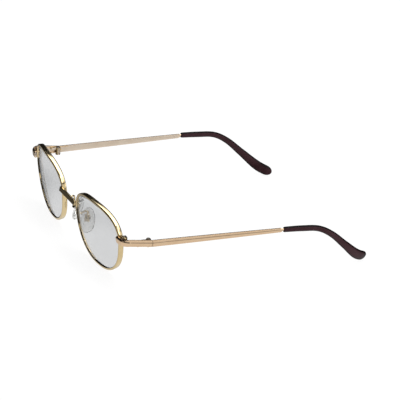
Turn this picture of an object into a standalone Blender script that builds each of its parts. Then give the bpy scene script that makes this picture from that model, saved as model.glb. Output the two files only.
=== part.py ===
"""Full-rim metal eyeglasses with folding temples and rocking nose pads.

Frame: +X is the wearer's left, the front faces -Y, +Z is up, metres.
The glasses lie open on Z = 0, on the lower edges of both rims and on both temple tips.
Shapes are worked out in millimetres for the wearer's left side and mirrored for the right.
"""
import math

import bmesh
import bpy
import numpy as np
from mathutils import Vector

MM = 0.001
DATUM_Y = -70.87          # puts the origin midway between the bridge and the rear ends
DATUM_Z = 0.324           # puts the lowest edges of the rims and the tips on Z = 0
SOLDER_GAP = 0.08         # between pieces that are soldered or seated together
RUN_GAP = 0.06            # between pieces that turn on each other

# Rims and lenses
RIM_HALF_WIDTH = 25.3
RIM_HALF_HEIGHT = 18.7
RIM_SQUARENESS = 2.45     # exponent of the rounded outline
RIM_TOP_FLARE = 0.13      # the outline is wider at the top
RIM_CENTRE_X = 35.15
RIM_CENTRE_Z = 17.9
RIM_FRONT_Y = -1.0
RIM_DEPTH = 2.6
RIM_WALL = 1.4
RIM_CHAMFER = 0.2
RIM_SPLIT_GAP = 0.12      # where the rim opens inside its lock
GROOVE_DEPTH = 0.42
RIM_STEPS = 72
FRONT_RADIUS = 130.0      # curve of the lens fronts
WRAP = math.radians(4.95)
TILT = math.radians(8.8)
LENS_THICKNESS = 1.6
LENS_STEPS = 48
LENS_RINGS = 3
LENS_EDGE_GAP = 0.1       # between the lens and the rim, beside the bevel
LENS_APEX_GAP = 0.14      # between the bevel's apex and the bottom of the groove

# Rim lock at the temple side of each rim
LOCK_X = 62.55
LOCK_Y = 4.65
LOCK_RADIUS = 1.6
LOCK_RIM_SIDE = 60.65
LOCK_SPLIT_Z = 25.1
LOCK_UPPER = 1.95
LOCK_LOWER = 2.2
LOCK_SCREW_RADIUS = 0.45
LOCK_HEAD_RADIUS = 0.95
LOCK_HEAD_HEIGHT = 0.4

# Bridge
BRIDGE_Z = 25.2
BRIDGE_Y = -2.5
BRIDGE_HALF_SPAN = 10.6
BRIDGE_HEIGHT = 2.6
BRIDGE_THICKNESS = 1.4
BRIDGE_RISE = 0.45        # the middle stands higher than the ends
BRIDGE_BULGE = 0.3        # and further forward
BRIDGE_BEVEL = 0.2
BRIDGE_END_SHARE = 0.8    # the ends' share of the height

# End pieces and temples
BAR_X = 67.4              # middle of the bar's thickness at the hinge
BAR_HEIGHT = 3.6
BAR_THICKNESS = 1.3
BAR_EDGE = 0.85           # thickness at the bar's upper and lower edges
BAR_CHAMFER = 0.15
RIDGE_SHARE = 0.17        # height of the outer ridge above the middle, as a share of the height
END_FRONT_Y = 1.75
END_INNER_X = 59.4
END_FRONT_Z = 25.5
END_DROP = 0.6            # the inner end reaches this much lower
CORNER_RADIUS = 4.2
CORNER_BACK = 0.35        # the corner starts this much behind the inner end
CORNER_START = math.radians(-86)
LEVEL_SHARE = 0.1         # the bar stays level this far, then slopes down to the hinge
END_TAPER = 0.75          # the inner end's share of the bar's height
JOINT_Y = 18.35
JOINT_Z = 23.95
JOINT_GAP = 0.1           # each side of the joint between end piece and temple
METAL_END = (68.9, 90.7, 25.05)
METAL_END_HEIGHT = 2.3
METAL_END_THICKNESS = 1.0
METAL_TAPER_POWER = 1.4
METAL_STATIONS = (0, 0.03, 0.2, 0.4, 0.6, 0.8, 1)
CORE_RADIUS = 0.6
CORE_SHARE = 0.8          # how far the core reaches along the tip

# Temple tips: points of the centre line, each with the half height and half thickness there
TIP_LINE = (
    (68.93, 91.3, 25.3, 1.5, 1.05),
    (68.85, 101.5, 24.95, 1.62, 1.1),
    (68.9, 111.5, 23.95, 1.62, 1.1),
    (68.6, 119.7, 19.85, 1.75, 1.1),
    (67.2, 128.4, 12.6, 2.1, 1.05),
    (64.0, 137.6, 4.95, 2.75, 1.0),
    (60.4, 145.1, 1.3, 2.75, 0.95),
)
TIP_SIDES = 12
TIP_STEPS = 24
TIP_ROUND = 2.8           # length of the rounded rear end
TIP_END_RINGS = ((0.5, 0.87), (0.13, 0.5), (0.0, 0.22))   # share of that length left, share of the size
TIP_MOUTH_SHARE = 0.92
BORE_GAP = 0.09

# Hinge
PIN_X = 65.2
PIN_Y = 16.95
PIN_Z = 23.75
KNUCKLE_RADIUS = 1.3
KNUCKLE_REACH = 2.0       # half height of the three knuckles together
MIDDLE_REACH = 0.7        # half height of the temple's knuckle
PIN_RADIUS = 0.55
HEAD_RADIUS = 1.1
HEAD_HEIGHT = 0.4
LEAF_THICKNESS = 0.5
LEAF_LENGTH = 5.2
LEAF_LOW = -1.25          # both leaves' edges, from the middle of the hinge
LEAF_HIGH = 1.7
LEAF_BEHIND = 0.24        # between the front knuckles and their plate
TEMPLE_LEAF_LENGTH = 5.0
ARM_REACH = 2.6           # how far the front knuckles' roots reach forward of the barrels
SLOT_HALF_WIDTH = 0.13

# Nose pads: a pad's own frame has its face toward the nose
PAD_CENTRE = (8.05, 7.1, 15.2)   # where the insert meets the pad
PAD_LENGTH = 13.6
PAD_WIDTH = 7.6
PAD_THICKNESS = 2.0
PAD_DROP = 1.3            # the pad's middle lies below the insert
PAD_SPLAY = math.radians(32)      # the rear edges stand further apart
PAD_FLARE = math.radians(17)      # the lower ends stand further apart
INSERT_WIDTH = 1.5
INSERT_HEIGHT = 2.2
INSERT_REACH = 1.9
PAD_LEVELS = ((0.0, 0.72), (0.35, 0.95), (0.95, 1.0), (1.5, 0.9), (PAD_THICKNESS, 0.55))
PAD_LENGTH_TAPER = 0.55   # how much of each level's narrowing the length takes part in
PAD_SIDES = 24
POCKET_DEPTH = 0.8
BOX_WALL = 0.4
BOX_FRONT = -0.35
BOX_BACK = -INSERT_REACH - 0.25
BOX_END_ROOM = 0.32       # above and below the insert's stem
PAD_PIN_AT = -INSERT_REACH + 0.85
PAD_PIN_RADIUS = 0.35
PAD_HEAD_RADIUS = 0.65
PAD_HEAD_HEIGHT = 0.35
ARM_RADIUS = 0.45
ARM_START = ((10.6, 2.3, 19.05), (10.4, 3.6, 19.9), (10.7, 4.8, 20.2), (11.2, 6.0, 19.7))
ARM_STEPS = 22

MATERIALS = {
    "gold_metal": ((0.83, 0.66, 0.44, 1.0), 0.2, 1.0),
    "screw_steel": ((0.6, 0.58, 0.55, 1.0), 0.3, 1.0),
    "clear_lens": ((0.85, 0.86, 0.87, 0.3), 0.03, 0.0),
    "clear_silicone": ((0.86, 0.86, 0.84, 0.6), 0.35, 0.0),
    "brown_tip": ((0.045, 0.02, 0.022, 1.0), 0.35, 0.0),
}
BODIES = {}


# ---------------------------------------------------------------- object making
def clear_scene():
    for thing in list(bpy.data.objects):
        bpy.data.objects.remove(thing, do_unlink=True)


def make_materials():
    made = {}
    for name, (colour, roughness, metallic) in MATERIALS.items():
        material = bpy.data.materials.new(name)
        material.use_nodes = True
        shader = material.node_tree.nodes["Principled BSDF"]
        shader.inputs["Base Color"].default_value = colour
        shader.inputs["Alpha"].default_value = colour[3]
        shader.inputs["Roughness"].default_value = roughness
        shader.inputs["Metallic"].default_value = metallic
        made[name] = material
    return made


def add_body(name, place):
    """An empty at a moving body's joint axis; its pieces are its children."""
    empty = bpy.data.objects.new(name, None)
    empty.location = place_in_world(place)
    bpy.context.scene.collection.objects.link(empty)
    BODIES[name] = empty
    return empty


def place_in_world(point):
    return Vector((point[0], point[1] + DATUM_Y, point[2] + DATUM_Z)) * MM


def mirrored(point, side):
    return (point[0] * side, point[1], point[2])


def add_solid(name, verts, faces, material=None, body=None, side=1, smooth_angle=35):
    """One closed object from points in millimetres of the left side."""
    origin = BODIES[body].location if body else Vector()
    mesh = bpy.data.meshes.new(name)
    places = [place_in_world(mirrored(v, side)) - origin for v in verts]
    mesh.from_pydata(places, [], faces)
    shape = bmesh.new()
    shape.from_mesh(mesh)
    bmesh.ops.recalc_face_normals(shape, faces=shape.faces)
    if shape.calc_volume(signed=True) < 0:
        bmesh.ops.reverse_faces(shape, faces=shape.faces)
    shape.to_mesh(mesh)
    shape.free()
    mesh.shade_smooth()
    mesh.set_sharp_from_angle(angle=math.radians(smooth_angle))
    thing = bpy.data.objects.new(name, mesh)
    bpy.context.scene.collection.objects.link(thing)
    if body:
        thing.parent = BODIES[body]
    if material:
        mesh.materials.append(material)
    return thing


def shape_with(target, operation, name, verts, faces, side):
    """Adds to or cuts from a solid with a hidden guide solid."""
    body = target.parent.name if target.parent else None
    guide = add_solid(name, verts, faces, None, body, side)
    guide.hide_render = True
    guide.display_type = "WIRE"
    step = target.modifiers.new(name, "BOOLEAN")
    step.operation = operation
    step.solver = "EXACT"
    step.object = guide


# ---------------------------------------------------------------- solids from rings
def loft(rings, closed=False):
    """Skins a row of rings with the same number of points; open rows get end caps."""
    count = len(rings[0])
    verts = [tuple(point) for ring in rings for point in ring]
    faces = []
    spans = len(rings) if closed else len(rings) - 1
    for i in range(spans):
        a, b = i * count, ((i + 1) % len(rings)) * count
        for j in range(count):
            k = (j + 1) % count
            faces.append((a + j, a + k, b + k, b + j))
    if not closed:
        faces.append(tuple(range(count - 1, -1, -1)))
        faces.append(tuple(range(len(verts) - count, len(verts))))
    return verts, faces


def prism(outline, low, high):
    """An outline in X and Y, raised from low to high in Z."""
    return loft([[(x, y, low) for x, y in outline], [(x, y, high) for x, y in outline]])


def circle(centre, radius, sides=20, start=0.0, turn=2 * math.pi):
    closed = abs(turn) > 6.28
    steps = sides if closed else sides - 1
    angles = [start + turn * i / steps for i in range(sides)]
    return [(centre[0] + radius * math.cos(a), centre[1] + radius * math.sin(a)) for a in angles]


def rectangle(low, high):
    return [(low[0], low[1]), (high[0], low[1]), (high[0], high[1]), (low[0], high[1])]


def smooth_line(points, steps, ends=()):
    """A Catmull-Rom curve through the points, sampled evenly by length.

    Ends lists further samples before the end, by their distance from it; the even ones stop at the first.
    """
    p = np.array(points, float)
    p = np.vstack([2 * p[0] - p[1], p, 2 * p[-1] - p[-2]])
    fine = []
    for i in range(1, len(p) - 2):
        for t in np.linspace(0, 1, 24, endpoint=False):
            fine.append(0.5 * (2 * p[i] + (p[i + 1] - p[i - 1]) * t
                               + (2 * p[i - 1] - 5 * p[i] + 4 * p[i + 1] - p[i + 2]) * t ** 2
                               + (3 * p[i] - p[i - 1] - 3 * p[i + 1] + p[i + 2]) * t ** 3))
    fine.append(p[-2])
    fine = np.array(fine)
    length = np.concatenate([[0], np.cumsum(np.linalg.norm(np.diff(fine, axis=0), axis=1))])
    wanted = list(np.linspace(0, length[-1] - (ends[0] if ends else 0), steps))
    wanted += [length[-1] - distance for distance in ends[1:]]
    return np.column_stack([np.interp(wanted, length, fine[:, k]) for k in range(p.shape[1])])


def sweep_axes(line, sideways):
    """At each point of a line: an axis that starts near 'sideways' and one across both."""
    axes = []
    across = np.array(sideways, float)
    for tangent in np.gradient(line, axis=0):
        forward = tangent / np.linalg.norm(tangent)
        across = across - forward * np.dot(across, forward)
        across /= np.linalg.norm(across)
        axes.append((across, np.cross(across, forward)))
    return axes


def oval_rings(line, half_heights, half_thickness, sides, sideways=(1, 0, 0)):
    """Oval sections along a line, for tips and wires."""
    rings = []
    turns = [2 * math.pi * i / sides for i in range(sides)]
    axes = sweep_axes(line, sideways)
    for centre, (across, upward), h, w in zip(line, axes, half_heights, half_thickness):
        rings.append([centre + across * w * math.cos(a) + upward * h * math.sin(a) for a in turns])
    return rings


# ---------------------------------------------------------------- rims and lenses
def rim_outline(steps):
    """The rim's outer edge in its own plane, evenly spaced, from the temple side upward."""
    turns = np.linspace(0, 2 * math.pi, 2881)
    cos, sin = np.cos(turns), np.sin(turns)
    power = 2 / RIM_SQUARENESS
    x = RIM_HALF_WIDTH * np.sign(cos) * np.abs(cos) ** power
    z = RIM_HALF_HEIGHT * np.sign(sin) * np.abs(sin) ** power
    x = x * (1 + RIM_TOP_FLARE * z / RIM_HALF_HEIGHT)
    length = np.concatenate([[0], np.cumsum(np.hypot(np.diff(x), np.diff(z)))])
    wanted = np.linspace(0, length[-1], steps + 1)[:-1]
    return np.column_stack([np.interp(wanted, length, x), np.interp(wanted, length, z)])


def inset(outline, distance):
    """The outline moved inward, square to itself."""
    along = np.roll(outline, -1, axis=0) - np.roll(outline, 1, axis=0)
    along /= np.linalg.norm(along, axis=1)[:, None]
    inward = np.column_stack([-along[:, 1], along[:, 0]])
    return outline + inward * distance


def on_front(flat, depth):
    """A point of the rim's plane, set on the curved front and pushed back by depth."""
    x, z = flat
    y = FRONT_RADIUS - math.sqrt(FRONT_RADIUS ** 2 - x * x - z * z)
    back = Vector((-x, FRONT_RADIUS - y, -z)).normalized()
    point = Vector((x, y, z)) + back * depth
    x, y = (point.x * math.cos(WRAP) - point.y * math.sin(WRAP),
            point.x * math.sin(WRAP) + point.y * math.cos(WRAP))
    y, z = (y * math.cos(TILT) - point.z * math.sin(TILT),
            y * math.sin(TILT) + point.z * math.cos(TILT))
    return Vector((x + RIM_CENTRE_X, y + RIM_FRONT_Y, z + RIM_CENTRE_Z))


def rim_rings(steps):
    """Sections of the grooved eye wire: each corner is (inward, back)."""
    chamfer, mid = RIM_CHAMFER, RIM_DEPTH / 2
    groove = GROOVE_DEPTH
    profile = ((0, chamfer), (chamfer, 0), (RIM_WALL - chamfer / 2, 0), (RIM_WALL, chamfer / 2),
               (RIM_WALL, mid - groove), (RIM_WALL - groove, mid), (RIM_WALL, mid + groove),
               (RIM_WALL, RIM_DEPTH - chamfer / 2), (RIM_WALL - chamfer / 2, RIM_DEPTH),
               (chamfer, RIM_DEPTH), (0, RIM_DEPTH - chamfer))
    outline = rim_outline(steps)
    loops = [inset(outline, inward) for inward, _ in profile]
    depths = [back for _, back in profile]
    return [[on_front(loop[i], back) for loop, back in zip(loops, depths)] for i in range(steps)]


def split_rings(rings, height, gap):
    """Opens a closed row of rings on the temple side, at a height, by a small gap."""
    mids = [sum(ring, Vector()) / len(ring) for ring in rings]
    start = next(i for i in range(len(rings)) if mids[i].z > height)
    before = (start - 1) % len(rings)
    rise = mids[start].z - mids[before].z

    def between(z):
        share = (z - mids[before].z) / rise
        return [a.lerp(b, share) for a, b in zip(rings[before], rings[start])]

    row = rings[start:] + rings[:start]
    margin = 0.15       # a section nearer than this to the opening is left out
    if mids[start].z - (height + gap / 2) < margin:
        row = row[1:]
    if (height - gap / 2) - mids[before].z < margin:
        row = row[:-1]
    return [between(height + gap / 2)] + row + [between(height - gap / 2)]


def make_rim(name, side, look):
    rings = split_rings(rim_rings(RIM_STEPS), LOCK_SPLIT_Z, RIM_SPLIT_GAP)
    return add_solid(name, *loft(rings), look["gold_metal"], None, side)


def make_lens(name, side, look):
    """A meniscus with a V bevel that sits in the rim's groove."""
    outline = rim_outline(LENS_STEPS)
    edge = inset(outline, RIM_WALL + LENS_EDGE_GAP)
    apex = inset(outline, RIM_WALL - GROOVE_DEPTH + LENS_APEX_GAP)
    front = RIM_DEPTH / 2 - LENS_THICKNESS / 2
    back = front + LENS_THICKNESS
    mid = RIM_DEPTH / 2
    bevel = GROOVE_DEPTH * 0.8
    rows = []
    for i in range(1, LENS_RINGS + 1):
        rows.append([on_front(p, front) for p in edge * (i / LENS_RINGS)])
    rows.append([on_front(p, mid - bevel) for p in edge])
    rows.append([on_front(p, mid) for p in apex])
    rows.append([on_front(p, mid + bevel) for p in edge])
    for i in range(LENS_RINGS, 0, -1):
        rows.append([on_front(p, back) for p in edge * (i / LENS_RINGS)])
    verts = [point for row in rows for point in row]
    faces = loft(rows)[1][:-2]
    verts += [on_front((0, 0), front), on_front((0, 0), back)]
    last = len(rows) * LENS_STEPS - LENS_STEPS
    for j in range(LENS_STEPS):
        k = (j + 1) % LENS_STEPS
        faces.append((len(verts) - 2, j, k))
        faces.append((len(verts) - 1, last + k, last + j))
    return add_solid(name, verts, faces, look["clear_lens"], None, side)


# ---------------------------------------------------------------- front metalwork
def make_bridge(look):
    """A flat-backed bar, slightly arched, that lies on the fronts of both rims."""
    rings = []
    front, back = -BRIDGE_THICKNESS / 2, BRIDGE_THICKNESS / 2
    for share in np.linspace(-1, 1, 13):
        arch = 1 - share ** 2
        half = BRIDGE_HEIGHT / 2 * (1.0 if arch > 0 else BRIDGE_END_SHARE)
        flat = half - BRIDGE_BEVEL
        section = ((back, -half), (back, half), (front + BRIDGE_BEVEL, half), (front, flat),
                   (front, -flat), (front + BRIDGE_BEVEL, -half))
        x, y, z = BRIDGE_HALF_SPAN * share, BRIDGE_Y - BRIDGE_BULGE * arch, BRIDGE_Z + BRIDGE_RISE * arch
        rings.append([tilted((x, y + dy, z + dz), (x, y, z)) for dy, dz in section])
    return add_solid("bridge", *loft(rings), look["gold_metal"])


def tilted(point, pivot):
    """Leans a point about a pivot by the tilt of the front."""
    dy, dz = point[1] - pivot[1], point[2] - pivot[2]
    return (point[0], pivot[1] + dy * math.cos(TILT) - dz * math.sin(TILT),
            pivot[2] + dy * math.sin(TILT) + dz * math.cos(TILT))


def bar_section(height, thickness, drop=0.0):
    """Corners as (outward, up): flat inside, two facets that meet in a ridge outside."""
    inner, high, low = -thickness / 2, height / 2, -height / 2 - drop
    edge = inner + BAR_EDGE * thickness / BAR_THICKNESS
    cut = BAR_CHAMFER
    return ((inner, low), (inner, high), (edge - cut, high), (edge, high - cut),
            (thickness / 2, height * RIDGE_SHARE), (edge, low + cut), (edge - cut, low))


def end_piece_line():
    """The centre line in plan: across the front, round the corner, back to the hinge."""
    corner = (BAR_X - CORNER_RADIUS, END_FRONT_Y + CORNER_BACK + CORNER_RADIUS)
    line = [(END_INNER_X, END_FRONT_Y), (END_INNER_X + 0.5, END_FRONT_Y + 0.02)]
    for angle in np.linspace(CORNER_START, 0, 7):
        line.append((corner[0] + CORNER_RADIUS * math.cos(angle),
                     corner[1] + CORNER_RADIUS * math.sin(angle)))
    line += [(BAR_X, 12.0), (BAR_X, JOINT_Y - JOINT_GAP)]
    return np.array(line)


def make_end_piece(name, side, look):
    line = end_piece_line()
    rings = []
    for i, ((x, y), (ax, ay)) in enumerate(zip(line, np.gradient(line, axis=0))):
        size = math.hypot(ax, ay)
        outward = (ay / size, -ax / size)
        taper = END_TAPER if i == 0 else 1.0
        drop = END_DROP * max(0.0, 1 - (y - END_FRONT_Y) / CORNER_RADIUS)
        share = (y - END_FRONT_Y) / (JOINT_Y - END_FRONT_Y)
        z = END_FRONT_Z + (JOINT_Z - END_FRONT_Z) * max(0.0, share - LEVEL_SHARE) / (1 - LEVEL_SHARE)
        rings.append([(x + outward[0] * out, y + outward[1] * out, z + up * taper)
                      for out, up in bar_section(BAR_HEIGHT, BAR_THICKNESS, drop)])
    return add_solid(name, *loft(rings), look["gold_metal"], None, side, 20)


def lock_outline():
    """A block that is square toward the rim and round away from it."""
    round_side = circle((LOCK_X, LOCK_Y), LOCK_RADIUS, 11, -math.pi / 2, math.pi)
    return round_side + [(LOCK_RIM_SIDE, LOCK_Y + LOCK_RADIUS), (LOCK_RIM_SIDE, LOCK_Y - LOCK_RADIUS)]


def make_lock(side_name, side, look):
    """The two halves of the rim lock and the screw that draws them together."""
    upper = (LOCK_SPLIT_Z + RIM_SPLIT_GAP / 2, LOCK_SPLIT_Z + LOCK_UPPER)
    lower = (LOCK_SPLIT_Z - LOCK_LOWER, LOCK_SPLIT_Z - RIM_SPLIT_GAP / 2)
    hole = circle((LOCK_X, LOCK_Y), LOCK_SCREW_RADIUS + RUN_GAP, 16)
    for label, (low, high) in (("upper", upper), ("lower", lower)):
        block = add_solid(f"rim_lock_{label}_{side_name}", *prism(lock_outline(), low, high),
                          look["gold_metal"], None, side)
        shape_with(block, "DIFFERENCE", f"rim_lock_{label}_hole_{side_name}",
                   *prism(hole, low - 1, high + 1), side)
    make_screw(f"rim_lock_screw_{side_name}", (LOCK_X, LOCK_Y), LOCK_SCREW_RADIUS, LOCK_HEAD_RADIUS,
               lower[0] + 0.1, upper[1] + RUN_GAP, LOCK_HEAD_HEIGHT, look, side)


def make_screw(name, centre, radius, head_radius, low, seat, head_height, look, side):
    """A slotted cheese-head screw that stands upright."""
    levels = ((radius * 0.8, low), (radius, low + 0.12), (radius, seat), (head_radius, seat),
              (head_radius, seat + head_height * 0.7), (head_radius * 0.85, seat + head_height))
    rings = [[(x, y, z) for x, y in circle(centre, r, 16)] for r, z in levels]
    screw = add_solid(name, *loft(rings), look["screw_steel"], None, side)
    x, y = centre
    slot = rectangle((x - SLOT_HALF_WIDTH, y - 2), (x + SLOT_HALF_WIDTH, y + 2))
    top = seat + head_height
    shape_with(screw, "DIFFERENCE", name + "_slot", *prism(slot, top - 0.2, top + 1), side)
    return screw


# ---------------------------------------------------------------- hinge
def leaf_side():
    """Where both leaves meet the inner face of the bar."""
    return BAR_X - BAR_THICKNESS / 2 - SOLDER_GAP


def leaf_plate(start, length):
    """A leaf's plate along the bar, and its lower and upper edges."""
    plate = rectangle((leaf_side() - LEAF_THICKNESS, start), (leaf_side(), start + length))
    return prism(plate, PIN_Z + LEAF_LOW, PIN_Z + LEAF_HIGH)


def make_front_leaf(name, side, look):
    """Two knuckles, above and below the temple's, on a plate."""
    plate_end = PIN_Y - KNUCKLE_RADIUS - LEAF_BEHIND
    leaf = add_solid(name, *leaf_plate(plate_end - LEAF_LENGTH, LEAF_LENGTH), look["gold_metal"], None, side)
    arm = rectangle((PIN_X - 0.1, PIN_Y - KNUCKLE_RADIUS - ARM_REACH), (leaf_side(), PIN_Y))
    barrel = circle((PIN_X, PIN_Y), KNUCKLE_RADIUS, 24)
    height = KNUCKLE_REACH - MIDDLE_REACH - RUN_GAP
    for label, base in (("lower", PIN_Z - KNUCKLE_REACH), ("upper", PIN_Z + MIDDLE_REACH + RUN_GAP)):
        shape_with(leaf, "UNION", f"{name}_{label}_arm", *prism(arm, base, base + height), side)
        shape_with(leaf, "UNION", f"{name}_{label}_barrel", *prism(barrel, base, base + height), side)
    hole = circle((PIN_X, PIN_Y), PIN_RADIUS + RUN_GAP, 16)
    shape_with(leaf, "DIFFERENCE", name + "_hole", *prism(hole, PIN_Z - 4, PIN_Z + 4), side)
    return leaf


def make_temple_leaf(name, side, body, look):
    """One knuckle between the front's two, on a plate along the temple."""
    start = JOINT_Y + JOINT_GAP
    leaf = add_solid(name, *leaf_plate(start, TEMPLE_LEAF_LENGTH), look["gold_metal"], body, side)
    low, high = PIN_Z - MIDDLE_REACH, PIN_Z + MIDDLE_REACH
    arm = rectangle((PIN_X - 0.5, PIN_Y), (leaf_side(), start + 0.6))
    shape_with(leaf, "UNION", name + "_arm", *prism(arm, low, high), side)
    barrel = circle((PIN_X, PIN_Y), KNUCKLE_RADIUS, 24)
    shape_with(leaf, "UNION", name + "_barrel", *prism(barrel, low, high), side)
    hole = circle((PIN_X, PIN_Y), PIN_RADIUS + RUN_GAP, 16)
    shape_with(leaf, "DIFFERENCE", name + "_hole", *prism(hole, low - 1, high + 1), side)
    return leaf


# ---------------------------------------------------------------- temples
def make_temple(name, side, body, look):
    """A bar that tapers to the rear and goes on as a round core inside the tip."""
    start = np.array((BAR_X, JOINT_Y + JOINT_GAP, JOINT_Z))
    end = np.array(METAL_END)
    rings = []
    for share in METAL_STATIONS:
        centre = start + (end - start) * share
        taper = share ** METAL_TAPER_POWER
        height = BAR_HEIGHT + (METAL_END_HEIGHT - BAR_HEIGHT) * taper
        thickness = BAR_THICKNESS + (METAL_END_THICKNESS - BAR_THICKNESS) * taper
        rings.append([(centre[0] + out, centre[1], centre[2] + up)
                      for out, up in bar_section(height, thickness)])
    temple = add_solid(name, *loft(rings), look["gold_metal"], body, side, 12)
    line = core_line(end)
    radii = [CORE_RADIUS] * len(line)
    shape_with(temple, "UNION", name + "_core", *loft(oval_rings(line, radii, radii, 10)), side)
    return temple


def tip_line():
    """Centre points of the tip's sections, and their half heights and half thicknesses."""
    ends = [TIP_ROUND] + [TIP_ROUND * left for left, _ in TIP_END_RINGS]
    rows = smooth_line(TIP_LINE, TIP_STEPS, ends)
    rows[0, 3:] *= TIP_MOUTH_SHARE
    for row, (_, size) in zip(rows[TIP_STEPS:], TIP_END_RINGS):
        row[3:] *= size
    return rows[:, :3], rows[:, 3], rows[:, 4]


def core_line(start):
    """The core's centre line, from inside the bar's end to its blunt rear end in the tip."""
    inside = tip_line()[0][:int(TIP_STEPS * CORE_SHARE)]
    return np.vstack([start - np.array((0.03, 1.5, 0.05)), inside])


def make_tip(name, side, body, look):
    """A soft-edged sleeve with a blind hole for the core."""
    line, heights, widths = tip_line()
    outer = oval_rings(line, heights, widths, TIP_SIDES)
    bore_steps = int(TIP_STEPS * CORE_SHARE)
    bore = [CORE_RADIUS + BORE_GAP] * (bore_steps + 1)
    inner_line = line[:bore_steps + 1].copy()
    inner_line[-1] = inner_line[-2] + (inner_line[-1] - inner_line[-2]) * 0.15
    inner = oval_rings(inner_line, bore, bore, TIP_SIDES)
    return add_solid(name, *loft(inner[::-1] + outer), look["brown_tip"], body, side, 60)


# ---------------------------------------------------------------- nose pads
def pad_frame():
    """Axes of the left pad: toward the nose, across to the rear, and along upward."""
    nose = Vector((-math.cos(PAD_SPLAY), math.sin(PAD_SPLAY), 0))
    rear = Vector((math.sin(PAD_SPLAY), math.cos(PAD_SPLAY), 0))
    up = Vector((0, 0, 1))
    nose, up = (nose * math.cos(PAD_FLARE) - up * math.sin(PAD_FLARE),
                up * math.cos(PAD_FLARE) + nose * math.sin(PAD_FLARE))
    return nose, rear, up


def pad_point(toward_nose, to_rear, upward):
    nose, rear, up = pad_frame()
    return Vector(PAD_CENTRE) + nose * toward_nose + rear * to_rear + up * upward


def pad_box_solid(low, high):
    """A block in the pad's own axes."""
    rings = []
    for upward in (low[2], high[2]):
        rings.append([pad_point(low[0], low[1], upward), pad_point(high[0], low[1], upward),
                      pad_point(high[0], high[1], upward), pad_point(low[0], high[1], upward)])
    return loft(rings)


def make_pad(side_name, side, body, look):
    """The soft pad, its moulded insert, and the box and screw that hold it."""
    turns = [2 * math.pi * i / PAD_SIDES for i in range(PAD_SIDES)]
    rings = []
    for height, scale in PAD_LEVELS:
        half_width = PAD_WIDTH / 2 * scale
        half_length = PAD_LENGTH / 2 * (1 - (1 - scale) * PAD_LENGTH_TAPER)
        rings.append([pad_point(height, half_width * math.cos(a), half_length * math.sin(a) - PAD_DROP)
                      for a in turns])
    pad = add_solid(f"nose_pad_{side_name}", *loft(rings), look["clear_silicone"], body, side, 60)
    half_w, half_h = INSERT_WIDTH / 2, INSERT_HEIGHT / 2
    gap = SOLDER_GAP
    room = pad_box_solid((-1, -half_w - gap, -half_h - gap),
                         (POCKET_DEPTH + gap, half_w + gap, half_h + gap))
    shape_with(pad, "DIFFERENCE", f"nose_pad_pocket_{side_name}", *room, side)
    stem = pad_box_solid((-INSERT_REACH, -half_w, -half_h), (POCKET_DEPTH, half_w, half_h))
    insert = add_solid(f"pad_insert_{side_name}", *stem, look["clear_silicone"], body, side)
    shape_with(insert, "DIFFERENCE", f"pad_insert_hole_{side_name}",
               *pad_pin_solid(PAD_PIN_RADIUS + RUN_GAP, -3, 3, 14), side)
    make_pad_box(side_name, side, look)
    make_pad_arm(f"pad_arm_{side_name}", side, look)


def pad_pin_solid(radius, low, high, sides):
    """A round bar along the pad's width, at the pad's axis."""
    return pad_turned(((radius, low), (radius, high)), sides)


def pad_turned(profile, sides):
    """A turned solid on the pad's axis: the profile is (radius, place along the axis)."""
    rings = []
    for radius, to_rear in profile:
        rings.append([pad_point(PAD_PIN_AT + x, to_rear, y) for x, y in circle((0, 0), radius, sides)])
    return loft(rings)


def make_pad_box(side_name, side, look):
    """An open box round the insert's stem, with a screw across it."""
    half_w, half_h = INSERT_WIDTH / 2 + RUN_GAP, INSERT_HEIGHT / 2 + BOX_END_ROOM
    outside = pad_box_solid((BOX_BACK - BOX_WALL, -half_w - BOX_WALL, -half_h - BOX_WALL),
                            (BOX_FRONT, half_w + BOX_WALL, half_h + BOX_WALL))
    box = add_solid(f"pad_box_{side_name}", *outside, look["gold_metal"], None, side)
    shape_with(box, "DIFFERENCE", f"pad_box_room_{side_name}",
               *pad_box_solid((BOX_BACK, -half_w, -half_h), (2, half_w, half_h)), side)
    shape_with(box, "DIFFERENCE", f"pad_box_hole_{side_name}",
               *pad_pin_solid(PAD_PIN_RADIUS + RUN_GAP, -4, 4, 14), side)
    far_side = half_w + BOX_WALL
    head = far_side + RUN_GAP
    profile = ((PAD_PIN_RADIUS, -far_side), (PAD_PIN_RADIUS, head), (PAD_HEAD_RADIUS, head),
               (PAD_HEAD_RADIUS * 0.92, head + PAD_HEAD_HEIGHT))
    screw = add_solid(f"pad_screw_{side_name}", *pad_turned(profile, 14), look["screw_steel"], None, side)
    slot = pad_box_solid((PAD_PIN_AT - 2, head + 0.2, -0.1), (PAD_PIN_AT + 2, head + 2, 0.1))
    shape_with(screw, "DIFFERENCE", f"pad_screw_slot_{side_name}", *slot, side)


def arm_line():
    """From the rear of the rim's nose side, back and round to the pad box."""
    behind_box = BOX_BACK - BOX_WALL - ARM_RADIUS - SOLDER_GAP
    down_the_box = ((behind_box - 0.15, 2.3), (behind_box, 0.8), (behind_box, -0.9))
    points = list(ARM_START) + [tuple(pad_point(out, 0, up)) for out, up in down_the_box]
    return smooth_line(points, ARM_STEPS)


def make_pad_arm(name, side, look):
    line = arm_line()
    radii = [ARM_RADIUS] * len(line)
    rings = oval_rings(line, radii, radii, 10, (0.9, 0.3, 0.3))
    return add_solid(name, *loft(rings), look["gold_metal"], None, side, 60)


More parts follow.
